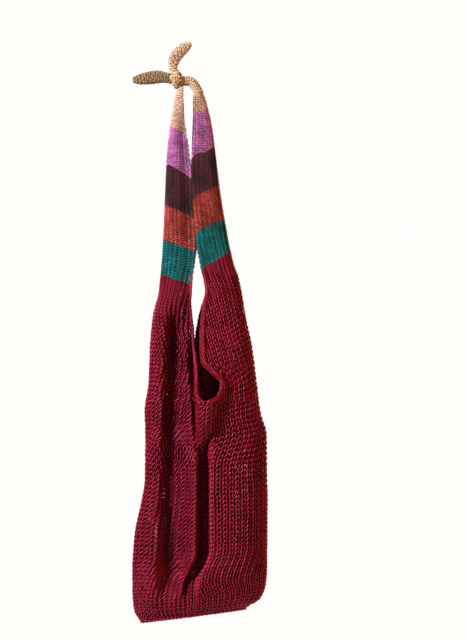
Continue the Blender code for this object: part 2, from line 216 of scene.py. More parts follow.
# %% Necklines
Neckline = namedtuple("Neckline", "level middle left right", defaults=(0.0, 0.0))
FRONT_NECKLINE = (
    Neckline(0.00, 0.004, 0.040, 0.041),
    Neckline(0.10, 0.004, 0.042, 0.041),
    Neckline(0.21, 0.010, 0.032, 0.031),
    Neckline(0.31, 0.017, 0.018, 0.018),
    Neckline(0.38, 0.018, 0.010, 0.009),
    Neckline(0.44, 0.024, 0.002, 0.002),
    Neckline(0.60, 0.034, 0.002, 0.002),
    Neckline(0.83, 0.059, 0.002, 0.002),
    Neckline(0.90, 0.065, 0.014, 0.013),
    Neckline(0.97, 0.069, 0.028, 0.028),
    Neckline(1.05, 0.078, 0.054, 0.054),
    Neckline(1.08, 0.066, 0.049, 0.049),
    Neckline(1.13, 0.064, 0.036, 0.036),
    Neckline(1.20, 0.070, 0.025, 0.025),
    Neckline(1.245, 0.082, 0.021, 0.021),
    Neckline(1.275, 0.097, 0.030, 0.074),
    Neckline(1.305, 0.112, 0.045, 0.132),
    Neckline(1.335, 0.126, 0.056, 0.112),
    Neckline(1.350, 0.132, 0.046, 0.076),
    Neckline(1.357, 0.134, 0.030, 0.040),
    Neckline(FRONT_JOIN, 0.134),
    Neckline(1.48, 0.119),
    Neckline(1.80, 0.115),
    Neckline(1.91, 0.015),
    Neckline(2.00, 0.010),
)
REAR_NECKLINE = (
    Neckline(0.00, 0.004, 0.046, 0.041),
    Neckline(0.38, 0.018, 0.018, 0.012),
    Neckline(0.44, 0.037, 0.002, 0.002),
    Neckline(0.83, 0.071, 0.002, 0.002),
    Neckline(0.90, 0.070, 0.019, 0.016),
    Neckline(1.05, 0.078, 0.060, 0.054),
    Neckline(1.08, 0.066, 0.055, 0.044),
    Neckline(1.12, 0.055, 0.035, 0.026),
    Neckline(1.15, 0.048, 0.022, 0.019),
    Neckline(1.18, 0.045, 0.008, 0.008),
    Neckline(REAR_JOIN, 0.045),
    Neckline(1.40, 0.090),
    Neckline(2.00, 0.060),
)
print(len(FRONT_NECKLINE), "rows of front neckline,", len(REAR_NECKLINE), "of rear neckline")

# %% [markdown]
# A fold is a trough down the cloth between two levels, or a bulge where its depth is negative.
# Its middle runs from one place across to another, or along the neckline's middle where the
# table says None. `narrowed` is the share of its width that it loses on its way down, and
# `steep` says how square its floor is. Some folds are steeper than the solid model's and the
# foot of the front neckline is rounder, by a few millimetres, because yarn can turn more
# sharply than a thick wall.

# %% Folds
Fold = namedtuple("Fold", "name sides first last top foot width narrowed depth steep")
FRONT_FOLDS = (
    Fold("left valley", BOTH, 1.04, 1.98, -0.045, -0.108, 0.112, 0.0, 0.290, 4),
    Fold("middle valley", BOTH, 1.42, 1.98, None, None, 0.048, 0.0, 0.340, 4),
    Fold("slit beside the neckline", (LEFT,), 1.12, 1.54, 0.024, 0.062, 0.022, 0.0, 0.240, 2),
    Fold("bunch under the neckline", BOTH, 1.24, 1.54, 0.165, 0.105, 0.118, 0.85, -0.150, 4),
    Fold("left strap's inner side", (LEFT,), 0.10, 1.20, -0.020, 0.020, 0.055, 0.0, 0.080, 2),
)
REAR_FOLDS = (
    Fold("rear left valley", BOTH, 1.10, 1.96, -0.130, -0.200, 0.070, 0.0, 0.160, 2),
    Fold("rear middle valley", BOTH, 1.20, 1.96, 0.120, 0.090, 0.075, 0.0, 0.200, 2),
    Fold("rear right valley", BOTH, 1.15, 1.93, 0.330, 0.350, 0.065, 0.0, 0.120, 2),
)
FOLD_FADE = 0.13  # levels in which a fold grows out of the cloth or runs out in it
FULL_FOLDS = 1.60  # a level at which all the long folds are there
print(len(FRONT_FOLDS), "folds in front and", len(REAR_FOLDS), "behind")

# %% [markdown]
# A table gives a size at a few levels only. To read it at any level, a curve is drawn through
# its rows. A cubic curve whose slope is nought wherever the rows turn round never swings past
# them, which keeps a neckline's edges from crossing.

# %% Read a table at any level


def column(table, name, level):
    """One column of a table, read at any level."""
    at = np.array([row.level for row in table])
    value = np.array([getattr(row, name) for row in table])
    rise = np.diff(value) / np.diff(at)
    slope = np.zeros(len(at))
    same_way = rise[:-1] * rise[1:] > 0
    safe = np.where(same_way, rise[:-1] + rise[1:], 1)
    slope[1:-1] = np.where(same_way, 2 * rise[:-1] * rise[1:] / safe, 0)
    level = np.clip(level, at[0], at[-1])
    below = np.clip(np.searchsorted(at, level, side="right") - 1, 0, len(at) - 2)
    step = at[below + 1] - at[below]
    t = (level - at[below]) / step
    return (
        (2 * t**3 - 3 * t**2 + 1) * value[below]
        + (t**3 - 2 * t**2 + t) * step * slope[below]
        + (3 * t**2 - 2 * t**3) * value[below + 1]
        + (t**3 - t**2) * step * slope[below + 1]
    )


def eased(share):
    """From 0 to 1 with a soft start and a soft end."""
    share = np.clip(share, 0, 1)
    return share * share * (3 - 2 * share)


belly = column(OUTLINE, "right", FULL_FOLDS) - column(OUTLINE, "left", FULL_FOLDS)
print("width at the belly:", round(float(belly) * BODY_WIDTH, 3), "m")

# %% [markdown]
# ## From the tables to a surface
# At each level the cloth follows half an ellipse from the front edge round to the rear edge.
# The folds then push it in, each along a smooth trough. Both halves are worked out once on a
# fine grid, and everything later reads its places from that grid.

# %% The two halves as grids of points
SHEET_LEVELS = 301
SHEET_COLUMNS = 241
FOOT_LEVELS = 5  # further levels that turn in under the hem and meet in the middle
LEVEL_STEP = 2 / (SHEET_LEVELS - 1)
LAST_LEVEL = 2 + FOOT_LEVELS * LEVEL_STEP
OUTWARD_BLUR = 6
SHORTEST = 1e-12  # keeps a division from failing where columns of the grid meet


def drop_at(level):
    """Metres below the hanging point."""
    return STRAP_DROP * np.minimum(level, 1) + BODY_HEIGHT * np.maximum(level - 1, 0)


def level_at(drop):
    return np.minimum(drop / STRAP_DROP, 1) + np.maximum(drop - STRAP_DROP, 0) / BODY_HEIGHT


def fold_depth(folds, neckline, side, x, level):
    """How far the folds push the cloth in."""
    pushed = 0
    for fold in folds:
        if side not in fold.sides:
            continue
        on_its_way = eased((level - fold.first) / (fold.last - fold.first))
        if fold.top is None:
            middle = column(neckline, "middle", level)
        else:
            middle = fold.top + (fold.foot - fold.top) * on_its_way
        there = eased((level - fold.first) / FOLD_FADE) * eased((fold.last - level) / FOLD_FADE)
        width = fold.width * (1 - fold.narrowed * on_its_way)
        away = (x / BODY_WIDTH - middle) / width
        pushed = pushed + fold.depth * BODY_DEPTH * there * np.exp(-(away**fold.steep))
    return pushed


def hem_rise(x, level):
    left = column(OUTLINE, "left", level) * BODY_WIDTH
    right = column(OUTLINE, "right", level) * BODY_WIDTH
    begun = eased((level - HEM_RISE_STARTS) / (2 - HEM_RISE_STARTS))
    return HEM_RISE * begun * (x - left) / (right - left)


def section(side, level, lean):
    """The cloth at a level. Lean is -1 at the front edge, 0 outermost and 1 at the rear edge."""
    side_name = SIDE_NAMES[side]
    outer = column(OUTLINE, side_name, level)
    half_depth = column(OUTLINE, "depth", level) * BODY_DEPTH
    on_body = eased((level - 1) / BODY_SETTLES)
    centres = []
    reaches = []
    for neckline in (FRONT_NECKLINE, REAR_NECKLINE):
        gap = side * column(neckline, side_name, level)
        centres.append(column(neckline, "middle", level) + gap * (1 - on_body))
        reaches.append(np.arccos(gap * on_body / (outer - centres[-1])))
    turn = lean * np.where(lean < 0, *reaches)
    centre = np.where(lean < 0, *centres)
    x = BODY_WIDTH * (centre + (outer - centre) * np.cos(turn))
    y = half_depth * np.sin(turn)
    pushed = np.where(
        lean < 0,
        fold_depth(FRONT_FOLDS, FRONT_NECKLINE, side, x, level),
        -fold_depth(REAR_FOLDS, REAR_NECKLINE, side, x, level),
    )
    z = hem_rise(x, level) - drop_at(level)
    return np.stack([x, y + pushed, z + 0 * x], axis=-1)


def half_sheet(side):
    """Points of one half, a row for each level, and the levels that close its foot."""
    leans = np.linspace(-1, 1, SHEET_COLUMNS)
    folded = section(side, FULL_FOLDS, leans)
    along = np.append(0, np.cumsum(np.linalg.norm(np.diff(folded, axis=0), axis=1)))
    leans = np.interp(np.linspace(0, along[-1], SHEET_COLUMNS), along, leans)
    points = section(side, np.linspace(0, 2, SHEET_LEVELS)[:, None], leans[None, :])
    hem = points[-1]
    shares = np.arange(1, FOOT_LEVELS + 1)[:, None, None] / FOOT_LEVELS / 2
    return np.concatenate([points, hem * (1 - shares) + hem[::-1] * shares])


def blurred(grid, times):
    """A grid whose values become the mean of their four neighbours, some times over."""
    for _ in range(times):
        padded = np.pad(grid, ((1, 1), (1, 1), (0, 0)), mode="edge")
        grid = (padded[:-2, 1:-1] + padded[2:, 1:-1] + padded[1:-1, :-2] + padded[1:-1, 2:]) / 4
    return grid


def outward_of(side, points):
    """The way out of the cloth at each point of a half."""
    facing = -side * np.cross(np.gradient(points, axis=1), np.gradient(points, axis=0))
    facing = facing / np.maximum(np.linalg.norm(facing, axis=2, keepdims=True), SHORTEST)
    facing = blurred(facing, OUTWARD_BLUR)
    return facing / np.linalg.norm(facing, axis=2, keepdims=True)


Cloth = namedtuple("Cloth", "points outward")
HALVES = {}
for side in BOTH:
    points = half_sheet(side)
    HALVES[side] = Cloth(points, outward_of(side, points))
print("each half is a grid of", HALVES[LEFT].points.shape[:2], "points")

# %% [markdown]
# ## Reading the grid
# The knit needs thousands of places at once, so a place is read for whole arrays together. Each
# is blended from the four grid points around it.

# %% Read a grid between its points
EVEN_BLUR = 4


def read_grid(grid, across, down):
    """Blended values of a grid, where across and down are shares of its width and its height."""
    row = np.clip(down, 0, 1) * (grid.shape[0] - 1)
    col = np.clip(across, 0, 1) * (grid.shape[1] - 1)
    i = np.minimum(row.astype(int), grid.shape[0] - 2)
    j = np.minimum(col.astype(int), grid.shape[1] - 2)
    s = (row - i)[..., None]
    t = (col - j)[..., None]
    upper = grid[i, j] * (1 - t) + grid[i, j + 1] * t
    lower = grid[i + 1, j] * (1 - t) + grid[i + 1, j + 1] * t
    return upper * (1 - s) + lower * s


def evened(points):
    """For each level, the grid's share across at which an even share of its length lies."""
    steps = np.linalg.norm(np.diff(points, axis=1), axis=2)
    shares = np.linspace(0, 1, points.shape[1])
    rows = []
    for step in steps:
        along = np.append(0, np.cumsum(step))
        rows.append(np.interp(shares * along[-1], along, shares))
    return np.array(rows)[:, :, None]


EVEN = {side: blurred(evened(HALVES[side].points), EVEN_BLUR) for side in BOTH}


def across_at(side, share, level):
    """Where an even share of the cloth's length at a level lies on the grid."""
    return read_grid(EVEN[side], share, level / LAST_LEVEL)[..., 0]


halfway = across_at(LEFT, np.array([0.5]), np.array([FULL_FOLDS]))
print("the middle of the left half lies at", round(float(halfway[0]), 3), "of its columns")

# %% [markdown]
# ## One course of loops
# In stocking stitch a course is a row of loops that the yarn makes without a break. Seen from
# the front, the yarn climbs one leg of a loop, goes over its head, comes down the other leg and
# passes on to the next loop. Three waves draw this. Along the course the yarn runs on evenly
# and swings back and forth twice in each stitch, so that a loop's head is wider than its neck.
# Up and down it swings once. In and out it swings twice, because both legs lie in front while
# the head and the foot lie behind, where the next course holds them.
#
# Where a knit hangs askew its loops lean, and one leg of each lies forward of the other. The
# left half of this bag hangs so and shows short slanting strokes, where the right half shows
# chains. A stitch's bulge and lean are counted in wales, which are columns of loops, and its
# reach in courses.

# %% The path of the yarn through a course
POINTS_PER_STITCH = 12
RANDOM = np.random.default_rng(7)

Stitch = namedtuple("Stitch", "bulge reach lean forward")
UPRIGHT = Stitch(0.27, 0.64, 0.0, 0.0)
STRAP_STITCH = Stitch(0.34, 0.55, 0.0, 0.0)
STITCHES = {LEFT: Stitch(0.12, 0.72, -0.34, 0.60), RIGHT: Stitch(0.21, 0.78, 0.08, 0.15)}


def uneven(wale, amount):
    """A hand knitter's unevenness: another value at each stitch, and a smooth change between."""
    first = math.floor(wale.min())
    stitches = np.arange(first, math.ceil(wale.max()) + 1)
    return np.interp(wale, stitches, RANDOM.normal(0, amount, len(stitches)))


def course(first, last, stitch):
    """The yarn from one wale to another: wales, places along, and its swing up and out."""
    count = max(2, round((last - first) * POINTS_PER_STITCH))
    wale = np.linspace(first, last, count + 1)
    turn = 2 * np.pi * wale
    rise = np.cos(turn)
    place = wale + stitch.bulge * np.sin(2 * turn) + stitch.lean * rise
    out = stitch.forward * np.sin(turn) - (1 - abs(stitch.forward)) * np.cos(2 * turn)
    return wale, place, rise * stitch.reach, out


print("a course of one stitch:", len(course(0, 1, UPRIGHT)[0]), "points")

# %% [markdown]
# ## Courses on the bag
# A wale is one column of loops. A strap is 18 wales wide and a half of the body 32, and the 14
# more are cut off by the two necklines. On the straps the courses slant with the coloured
# stripes, whose lower borders have one level at the outer side and another at the two edges.
#
# The table of cuts says how many wales are missing at a level, in front and behind. It keeps
# the wales running straight down past the foot of the neckline, instead of bending round it.

# %% Borders and cuts
STRAP_WALES = 18
BODY_WALES = 32
STRAP_CUT = (BODY_WALES - STRAP_WALES) / 2
Border = namedtuple("Border", "outer edge")
BORDERS = {
    LEFT: (
        Border(0.212, 0.270),
        Border(0.417, 0.492),
        Border(0.631, 0.701),
        Border(0.820, 0.881),
        Border(1.001, 1.033),
    ),
    RIGHT: (
        Border(0.117, 0.159),
        Border(0.322, 0.387),
        Border(0.527, 0.595),
        Border(0.693, 0.789),
        Border(0.869, 0.985),
    ),
}
Cut = namedtuple("Cut", "level front rear", defaults=(0.0, 0.0))
CUTS = {
    LEFT: (
        Cut(0.90, STRAP_CUT, STRAP_CUT),
        Cut(1.00, STRAP_CUT, STRAP_CUT),
        Cut(1.10, 5.6, 4.4),
        Cut(REAR_JOIN, 4.1),
        Cut(1.245, 3.5),
        Cut(1.30, 3.0),
        Cut(1.335, 2.5),
        Cut(1.350, 1.8),
        Cut(1.357, 1.1),
        Cut(FRONT_JOIN),
    ),
    RIGHT: (
        Cut(0.90, STRAP_CUT, STRAP_CUT),
        Cut(1.00, STRAP_CUT, STRAP_CUT),
        Cut(1.10, 4.6, 4.4),
        Cut(REAR_JOIN, 2.6),
        Cut(1.245, 1.9),
        Cut(1.275, 2.4),
        Cut(1.305, 3.4),
        Cut(1.335, 3.0),
        Cut(1.350, 2.1),
        Cut(1.357, 1.2),
        Cut(FRONT_JOIN),
    ),
}
strap_foot = HALVES[LEFT].points[round(1 / LEVEL_STEP)]
girth = float(np.linalg.norm(np.diff(strap_foot, axis=0), axis=1).sum())
print("at its foot a strap's wales are", round(girth / STRAP_WALES * 1000, 1), "mm wide")

# %% [markdown]
# On the body the courses come level again on their way down, soon at the edges and later at the
# outer side. No wale of a real bag hangs quite straight, so a slow random drift moves the loops
# a little along and down the cloth. A course slants, so the cuts differ from place to place
# along it, and its places are found in a few rounds.
#
# The yarn has one size on the body, another on the straps and a third at their tan ends: half
# its thickness, how far its loops swing out and in, and how deep in the cloth its middle lies.

# %% Courses of the two halves
EDGE_SETTLES = 0.18  # levels down the body in which a course comes level at a half's edges
OUTER_SETTLES = 0.80
PACKING = {LEFT: 0.2, RIGHT: 0.24}  # how much wider a wale is at the front edge than on average
CUT_ROUNDS = 7
DRIFT_GRID = (16, 9, 2)  # rows, columns, and one number along and one down
DRIFTS = {side: RANDOM.normal(0, 1, DRIFT_GRID) for side in BOTH}
DRIFT_ALONG = 0.22  # in wales
DRIFT_DOWN = 0.30  # in courses
UNEVEN_PLACE = 0.04  # in wales
UNEVEN_REACH = 0.07  # in shares of a loop's reach

Yarn = namedtuple("Yarn", "radius swing depth")
BODY_YARN = Yarn(0.00112, 0.00150, 0.0015)
STRAP_YARN = Yarn(0.00084, 0.00120, 0.0013)
TAN_YARN = Yarn(0.00095, 0.00085, 0.0012)
REAR_FULLNESS = 0.85  # how much fuller the yarn is behind, where the cloth lies in closer folds
REAR_BLEND = 0.12  # the share of a half's way round in which the yarn grows fuller


def outerness(across):
    """From 0 at a half's two edges to 1 at its outer side."""
    return 1 - np.abs(2 * across - 1)


def border_level(border, across):
    return border.edge + (border.outer - border.edge) * outerness(across)


def body_level(side, across, row):
    """The level of a course of the body, which starts along the last border and ends level."""
    start = BORDERS[side][-1]
    edge_lead = (start.edge - 1) * np.clip(1 - row / EDGE_SETTLES, 0, 1)
    outer_lead = (start.outer - 1) * np.clip(1 - row / OUTER_SETTLES, 0, 1)
    out = outerness(across)
    return 1 + row + edge_lead * (1 - out) + outer_lead * out


def on_cloth(cloth, across, down, out, size, full=1.0):
    """Rows of x, y, z, fullness and out for yarn on a cloth, where out swings from -1 to 1."""
    lift = out * size.swing - size.depth
    outward = read_grid(cloth.outward, across, down)
    places = read_grid(cloth.points, across, down) + outward * lift[:, None]
    return np.column_stack([places, full + 0 * out, out])


def share_at(side, place, level):
    """The share of a half's length at which a wale lies at a level."""
    front = column(CUTS[side], "front", level)
    rear = column(CUTS[side], "rear", level)
    share = (place - front) / (BODY_WALES - front - rear)
    return share + PACKING[side] * share * (1 - share)


def half_course(side, level_of, spacing, stitch, size, full=1.0):
    """The yarn of one course round a half, from its front edge to its rear edge.

    The course lies at the levels that level_of gives for shares across, and spacing is its
    distance in metres from the next one.
    """
    front = float(column(CUTS[side], "front", level_of(0.0)))
    rear = float(column(CUTS[side], "rear", level_of(1.0)))
    wale, place, rise, out = course(front, BODY_WALES - rear, stitch)
    place = place + uneven(wale, UNEVEN_PLACE)
    share = (place - front) / (BODY_WALES - front - rear)
    for _ in range(CUT_ROUNDS):
        level = level_of(across_at(side, np.clip(share, 0, 1), level_of(share)))
        share = (share + share_at(side, place, level)) / 2
    drift = read_grid(DRIFTS[side], share, level / LAST_LEVEL)
    along = DRIFT_ALONG * drift[:, 0] * np.sin(np.pi * np.clip(share, 0, 1))
    risen = rise * (1 + uneven(wale, UNEVEN_REACH))
    level = level_at(drop_at(level) + spacing * (DRIFT_DOWN * drift[:, 1] - risen))
    across = across_at(side, np.clip(share_at(side, place + along, level), 0, 1), level)
    full = full * (1 + REAR_FULLNESS * eased((across - 0.5) / REAR_BLEND))
    return on_cloth(HALVES[side], across, level / LAST_LEVEL, out, size, full)


strap_ends = border_level(BORDERS[LEFT][-1], np.array([0.0, 0.5]))
print("the left strap ends at levels", strap_ends, "at its edge and its outer side")

# %% [markdown]
# ## From a path to yarn
# A curve with a bevel depth is a tube round its points, which is just what yarn is. It is turned
# into a mesh, because a mesh can carry a map that runs along the yarn: the first number counts
# stitches along the strand, and the second goes once round it. The map lets a material draw the
# yarn's twist later. An attribute keeps how far out each place lies, so that shade can be painted
# on the yarn where it is tucked in. Open ends are filled, so each strand is a closed body.

# %% Yarn from paths
BEVEL_RESOLUTION = 0
SIDES = 4 + 2 * BEVEL_RESOLUTION


def yarn_map(mesh):
    """Writes the map along and round the yarn, for tubes whose points are numbered ring by ring."""
    corner = np.empty(len(mesh.loops), int)
    mesh.loops.foreach_get("vertex_index", corner)
    corner = corner.reshape(-1, 4)
    along = (corner // SIDES).astype(float)
    around = (corner % SIDES).astype(float)
    closes = np.ptp(along, axis=1) > 1
    last = along.max(axis=1, keepdims=True)
    along = np.where(closes[:, None] & (along < last), last + 1, along)
    wraps = np.ptp(around, axis=1) > 1
    around = np.where(wraps[:, None] & (around == 0), SIDES, around)
    places = np.stack([along / POINTS_PER_STITCH, around / SIDES], axis=2).ravel()
    layer = mesh.uv_layers.active or mesh.uv_layers.new(name="UVMap")
    layer.uv.foreach_set("vector", places.astype(np.float32))


def tubes(name, strands, radius):
    """A mesh of tubes along strands, each with rows as on_cloth gives, and closed or not."""
    curve = bpy.data.curves.new(name, "CURVE")
    curve.dimensions = "3D"
    curve.bevel_depth = radius
    curve.bevel_resolution = BEVEL_RESOLUTION
    curve.use_fill_caps = False
    for points, closed in strands:
        spline = curve.splines.new("POLY")
        spline.points.add(len(points) - 1)
        places = np.column_stack([points[:, :3], np.ones(len(points))]).astype(np.float32)
        spline.points.foreach_set("co", places.ravel())
        spline.points.foreach_set("radius", points[:, 3].astype(np.float32))
        spline.use_cyclic_u = closed
    drawn = bpy.data.objects.new(name + "_path", curve)
    scene.collection.objects.link(drawn)
    shaped = drawn.evaluated_get(bpy.context.evaluated_depsgraph_get())
    mesh = bpy.data.meshes.new_from_object(shaped)
    bpy.data.objects.remove(drawn)
    bpy.data.curves.remove(curve)
    yarn_map(mesh)
    # how far out each place lies, which the material uses to paint shade where the yarn is tucked
    # in
    lying_out = np.repeat(np.concatenate([points[:, 4] for points, _ in strands]), SIDES)
    carried = mesh.attributes.new("lying_out", "FLOAT", "POINT")
    carried.data.foreach_set("value", lying_out.astype(np.float32))
    bm = bmesh.new()
    bm.from_mesh(mesh)
    bmesh.ops.holes_fill(bm, edges=[edge for edge in bm.edges if edge.is_boundary], sides=0)
    bm.to_mesh(mesh)
    bm.free()
    mesh.name = name
    mesh.materials.clear()
    mesh.shade_smooth()
    return mesh


print("a strand has", SIDES, "sides, which shading smooths into a round one")

# %% [markdown]
# Each piece then takes the place of the solid piece that it dresses, and moves with the same
# body. Its finish comes later, so the piece and the name of its dye are put in a list.

# %% Pieces of yarn
MADE = []


def yarn(name, strands, radius, slot, replaced, dye=None):
    mesh = tubes(name, strands, radius)
    piece = bpy.data.objects.new(name, mesh)
    scene.collection.objects.link(piece)
    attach(piece, "root")
    if replaced:
        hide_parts(replaced)
    MADE.append((piece, dye or slot))
    steps = [np.diff(points[:, :3], axis=0) for points, _ in strands]
    length = sum(np.linalg.norm(step, axis=1).sum() for step in steps)
    triangles = sum(len(face.vertices) - 2 for face in mesh.polygons)
    print(f"{name}: {len(strands)} strands, {length:.1f} m of yarn, {triangles} triangles")


# %% [markdown]
# ## The body
# Below both necklines a course runs all the way round the bag and closes on itself. Between
# the two it runs from one side of the front neckline round the back to the other side, and
# the next course comes back the other way, as on two needles. Above both, each half is
# knitted for itself. The body is made in three pieces, one below the other, so that none is
# heavier than a program likes to handle.

# %% Levels of the body's courses
Gauge = namedtuple("Gauge", "level height full")  # a course's height and its yarn's fullness
BODY_GAUGE = (
    Gauge(1.00, 0.0042, 0.92),
    Gauge(1.12, 0.0050, 0.96),
    Gauge(1.30, 0.0060, 1.00),
    Gauge(1.75, 0.0060, 1.00),
    Gauge(1.93, 0.0050, 0.95),
    Gauge(2.03, 0.0044, 0.90),
)
FIRST_COURSE = 0.35  # of a course's height below the lowest border
FOOT_MARGIN = 0.006  # a course as close as this to the last level is the last one


def course_rows():
    """The rows of the body from 0 at its top, each a course's height below the one above."""
    rows = [FIRST_COURSE * BODY_GAUGE[0].height / BODY_HEIGHT]
    while rows[-1] < LAST_LEVEL - 1 - FOOT_MARGIN:
        rows.append(rows[-1] + float(column(BODY_GAUGE, "height", 1 + rows[-1])) / BODY_HEIGHT)
    return np.array(rows)


ROWS = course_rows()
print(len(ROWS), "courses in the body")

# %% Knit the body
STITCH_SETTLES = 0.11  # levels down the body in which its stitches still resemble the straps'
Tier = namedtuple("Tier", "name below")  # the level above which its last course lies
TIERS = (
    Tier("upper_body_knit", 1.30),
    Tier("middle_body_knit", 1.67),
    Tier("lower_body_knit", LAST_LEVEL),
)


def body_course(side, row, spacing):
    def level_of(across):
        return body_level(side, across, row)

    full = float(column(BODY_GAUGE, "full", 1 + row))
    settled = eased(row / STITCH_SETTLES)
    stitch = Stitch(*([1 - settled, settled] @ np.array([STRAP_STITCH, STITCHES[side]])))
    return half_course(side, level_of, spacing, stitch, BODY_YARN, full)


def joined_back_and_forth(courses):
    """One strand that goes along each course and comes back along the next."""
    turned = [points[::-1] if k % 2 else points for k, points in enumerate(courses)]
    return np.concatenate(turned)


def body_tier(rows, spacings):
    """The strands of some courses: rings below both necklines, and flat knitting above."""
    strands = []
    apart = {LEFT: [], RIGHT: []}
    flat = []
    for row, spacing in zip(rows, spacings):
        halves = {side: body_course(side, row, spacing) for side in BOTH}
        if 1 + row < REAR_JOIN:
            for side in BOTH:
                apart[side].append(halves[side])
            continue
        whole = np.concatenate([halves[LEFT][:-1], halves[RIGHT][::-1]])
        if 1 + row < FRONT_JOIN:
            flat.append(whole)
        else:
            strands.append((whole[:-1], True))
    for courses in (apart[LEFT], apart[RIGHT], flat):
        if courses:
            strands.append((joined_back_and_forth(courses), False))
    return strands


spacings = np.gradient(ROWS) * BODY_HEIGHT
above = 1.0
for tier in TIERS:
    chosen = (1 + ROWS >= above) & (1 + ROWS < tier.below)
    strands = body_tier(ROWS[chosen], spacings[chosen])
    yarn(tier.name, strands, BODY_YARN.radius, "crimson", "body")
    above = tier.below

# %% [markdown]
# ## The straps
# Each strap has five coloured stripes with slanting borders. The yarn changes at a border, so
# each stripe is a strand of its own. The loops of one colour reach into the next, which gives
# the borders their zigzag.

# %% Knit the straps
BAND_NAMES = ("tan", "orchid", "plum", "rust", "teal")
STRAP_GAUGE = 0.0033  # metres from one course to the next, before they share out the stripe
STRAP_STARTS = {LEFT: 0.006, RIGHT: 0.050}  # the levels of the topmost courses' upper borders


def strap_band(side, index):
    """The courses of one stripe, which share its height out evenly."""
    border = BORDERS[side][index]
    if index:
        above = BORDERS[side][index - 1]
    else:
        above = Border(STRAP_STARTS[side], STRAP_STARTS[side])
    height = STRAP_DROP * (border.outer + border.edge - above.outer - above.edge) / 2
    count = max(2, round(height / STRAP_GAUGE))
    spacing = height / count
    courses = []
    for k in range(count):
        share = (k + 0.5) / count

        def level_of(across, share=share):
            upper = drop_at(border_level(above, across))
            return level_at(upper + share * (drop_at(border_level(border, across)) - upper))

        courses.append(half_course(side, level_of, spacing, STRAP_STITCH, STRAP_YARN))
    node = f"{SIDE_NAMES[side]}_strap_{BAND_NAMES[index]}"
    strands = [(joined_back_and_forth(courses), False)]
    yarn(node + "_knit", strands, STRAP_YARN.radius, BAND_NAMES[index], node)


for side in BOTH:
    for index in range(len(BAND_NAMES)):
        strap_band(side, index)

# %% [markdown]
# ## Pipes of knit
# The straps' tan ends curl up lengthwise, as narrow strips of stocking stitch do. Each is drawn
# as a pipe, round or pressed flat, whose courses go round it. A pipe needs to know which way its
# broad side faces, or it would turn over somewhere along a bend.

# %% Knit round a path
PIPE_COLUMNS = 49
UNEVEN_RINGS = 0.1  # in shares of a loop's reach


def pipe(path, radii, facing, flat):
    """A closed cloth round a path, as wide as its radii say and pressed flat towards its face."""
    along = np.gradient(path, axis=0)
    along = along / np.linalg.norm(along, axis=1, keepdims=True)
    sideways = np.cross(along, facing)
    sideways = sideways / np.linalg.norm(sideways, axis=1, keepdims=True)
    face = np.cross(sideways, along)
    turn = np.linspace(-np.pi, np.pi, PIPE_COLUMNS)[None, :, None]
    sideways, face = sideways[:, None], face[:, None]
    radii = np.asarray(radii)[:, None, None]
    points = path[:, None] + radii * (np.sin(turn) * sideways + flat * np.cos(turn) * face)
    outward = flat * np.sin(turn) * sideways + np.cos(turn) * face
    return Cloth(points, outward / np.linalg.norm(outward, axis=2, keepdims=True))


def pipe_courses(cloth, wales, courses, size):
    """Closed rings of loops round a pipe, evenly spaced along it."""
    strands = []
    for k in range(courses):
        wale, place, rise, out = course(0, wales, UPRIGHT)
        down = (k + 0.5 - rise * (1 + UNEVEN_RINGS * RANDOM.normal())) / courses
        across = (place / wales) % 1
        strands.append((on_cloth(cloth, across, down, out, size)[:-1], True))
    return strands


print("a pipe is a grid with", PIPE_COLUMNS, "columns")

# %% [markdown]
# ## The knot, the loop and the two tails
# The right strap's rolled end lies over the hanging point and runs into the knot, the left
# strap's end comes up into it from below, and both ends leave it as tails. The knot is a ball of
# knit with a broad wrap slanting over its front. The sizes are close to the solid model's.

# %% Place of the knot
KNOT_HALF = np.array([0.0188, 0.0220, 0.0278]) / 2  # half its width, depth and height
KNOT_SHIFT = 0.0046  # how far it lies to the left of the left strap's middle
KNOT_HANG = 0.0059  # how far it reaches below the hanging point
FRONT = np.array([0.0, -1.0, 0.0])


def strap_middle(side, drop):
    """The x of a strap's middle at a drop below the hanging point."""
    down = np.full(2, drop / STRAP_DROP / LAST_LEVEL)
    return read_grid(HALVES[side].points, np.array([0.0, 0.5]), down)[:, 0].mean()


KNOT_CENTRE = np.array([strap_middle(LEFT, KNOT_HANG) - KNOT_SHIFT, 0.0, KNOT_HALF[2] - KNOT_HANG])


def knot_edge(direction):
    """The place on the knot's surface in a direction from its middle."""
    direction = np.array(direction, float)
    return KNOT_CENTRE + direction / np.linalg.norm(direction / KNOT_HALF)


print("the knot's middle lies at", KNOT_CENTRE.round(4))

# %% [markdown]
# A tail's table gives its middle line and its thickness at some shares of its length. Its places
# are shares of that length too, and its thickness is a share of the tail's greatest width.

# %% Knit the tails
Roll = namedtuple("Roll", "level x z radius")
UPPER_TAIL = (
    Roll(0.0, 0.00, 0.00, 0.50),
    Roll(0.2, -0.05, 0.20, 0.72),
    Roll(0.4, -0.01, 0.45, 0.94),
    Roll(0.6, 0.14, 0.68, 1.00),
    Roll(0.8, 0.33, 0.85, 0.88),
    Roll(0.9, 0.45, 0.93, 0.68),
    Roll(1.0, 0.56, 1.00, 0.34),
)
LEFT_TAIL = (
    Roll(0.0, 0.00, 0.00, 0.78),
    Roll(0.2, -0.17, 0.03, 0.80),
    Roll(0.4, -0.35, 0.05, 0.97),
    Roll(0.6, -0.54, 0.03, 1.00),
    Roll(0.8, -0.75, 0.00, 0.88),
    Roll(0.9, -0.90, -0.02, 0.70),
    Roll(1.0, -1.00, -0.03, 0.42),
)
Tail = namedtuple("Tail", "name rolls length width direction courses dye")
TAILS = (
    Tail("upper_tail", UPPER_TAIL, 0.0362, 0.0166, (-0.35, 0, 1), 15, "tan"),
    # the left tail's dye is a darker, more olive copy of the tan: painted shade on that tail
    Tail("left_tail", LEFT_TAIL, 0.0498, 0.0174, (-1, 0, 0.16), 17, "painted_shade_tan"),
)
TAIL_WALES = 13
TAIL_FLAT = 0.62
TAIL_START = 0.003  # how far inside the knot a tail begins
PATH_POINTS = 60


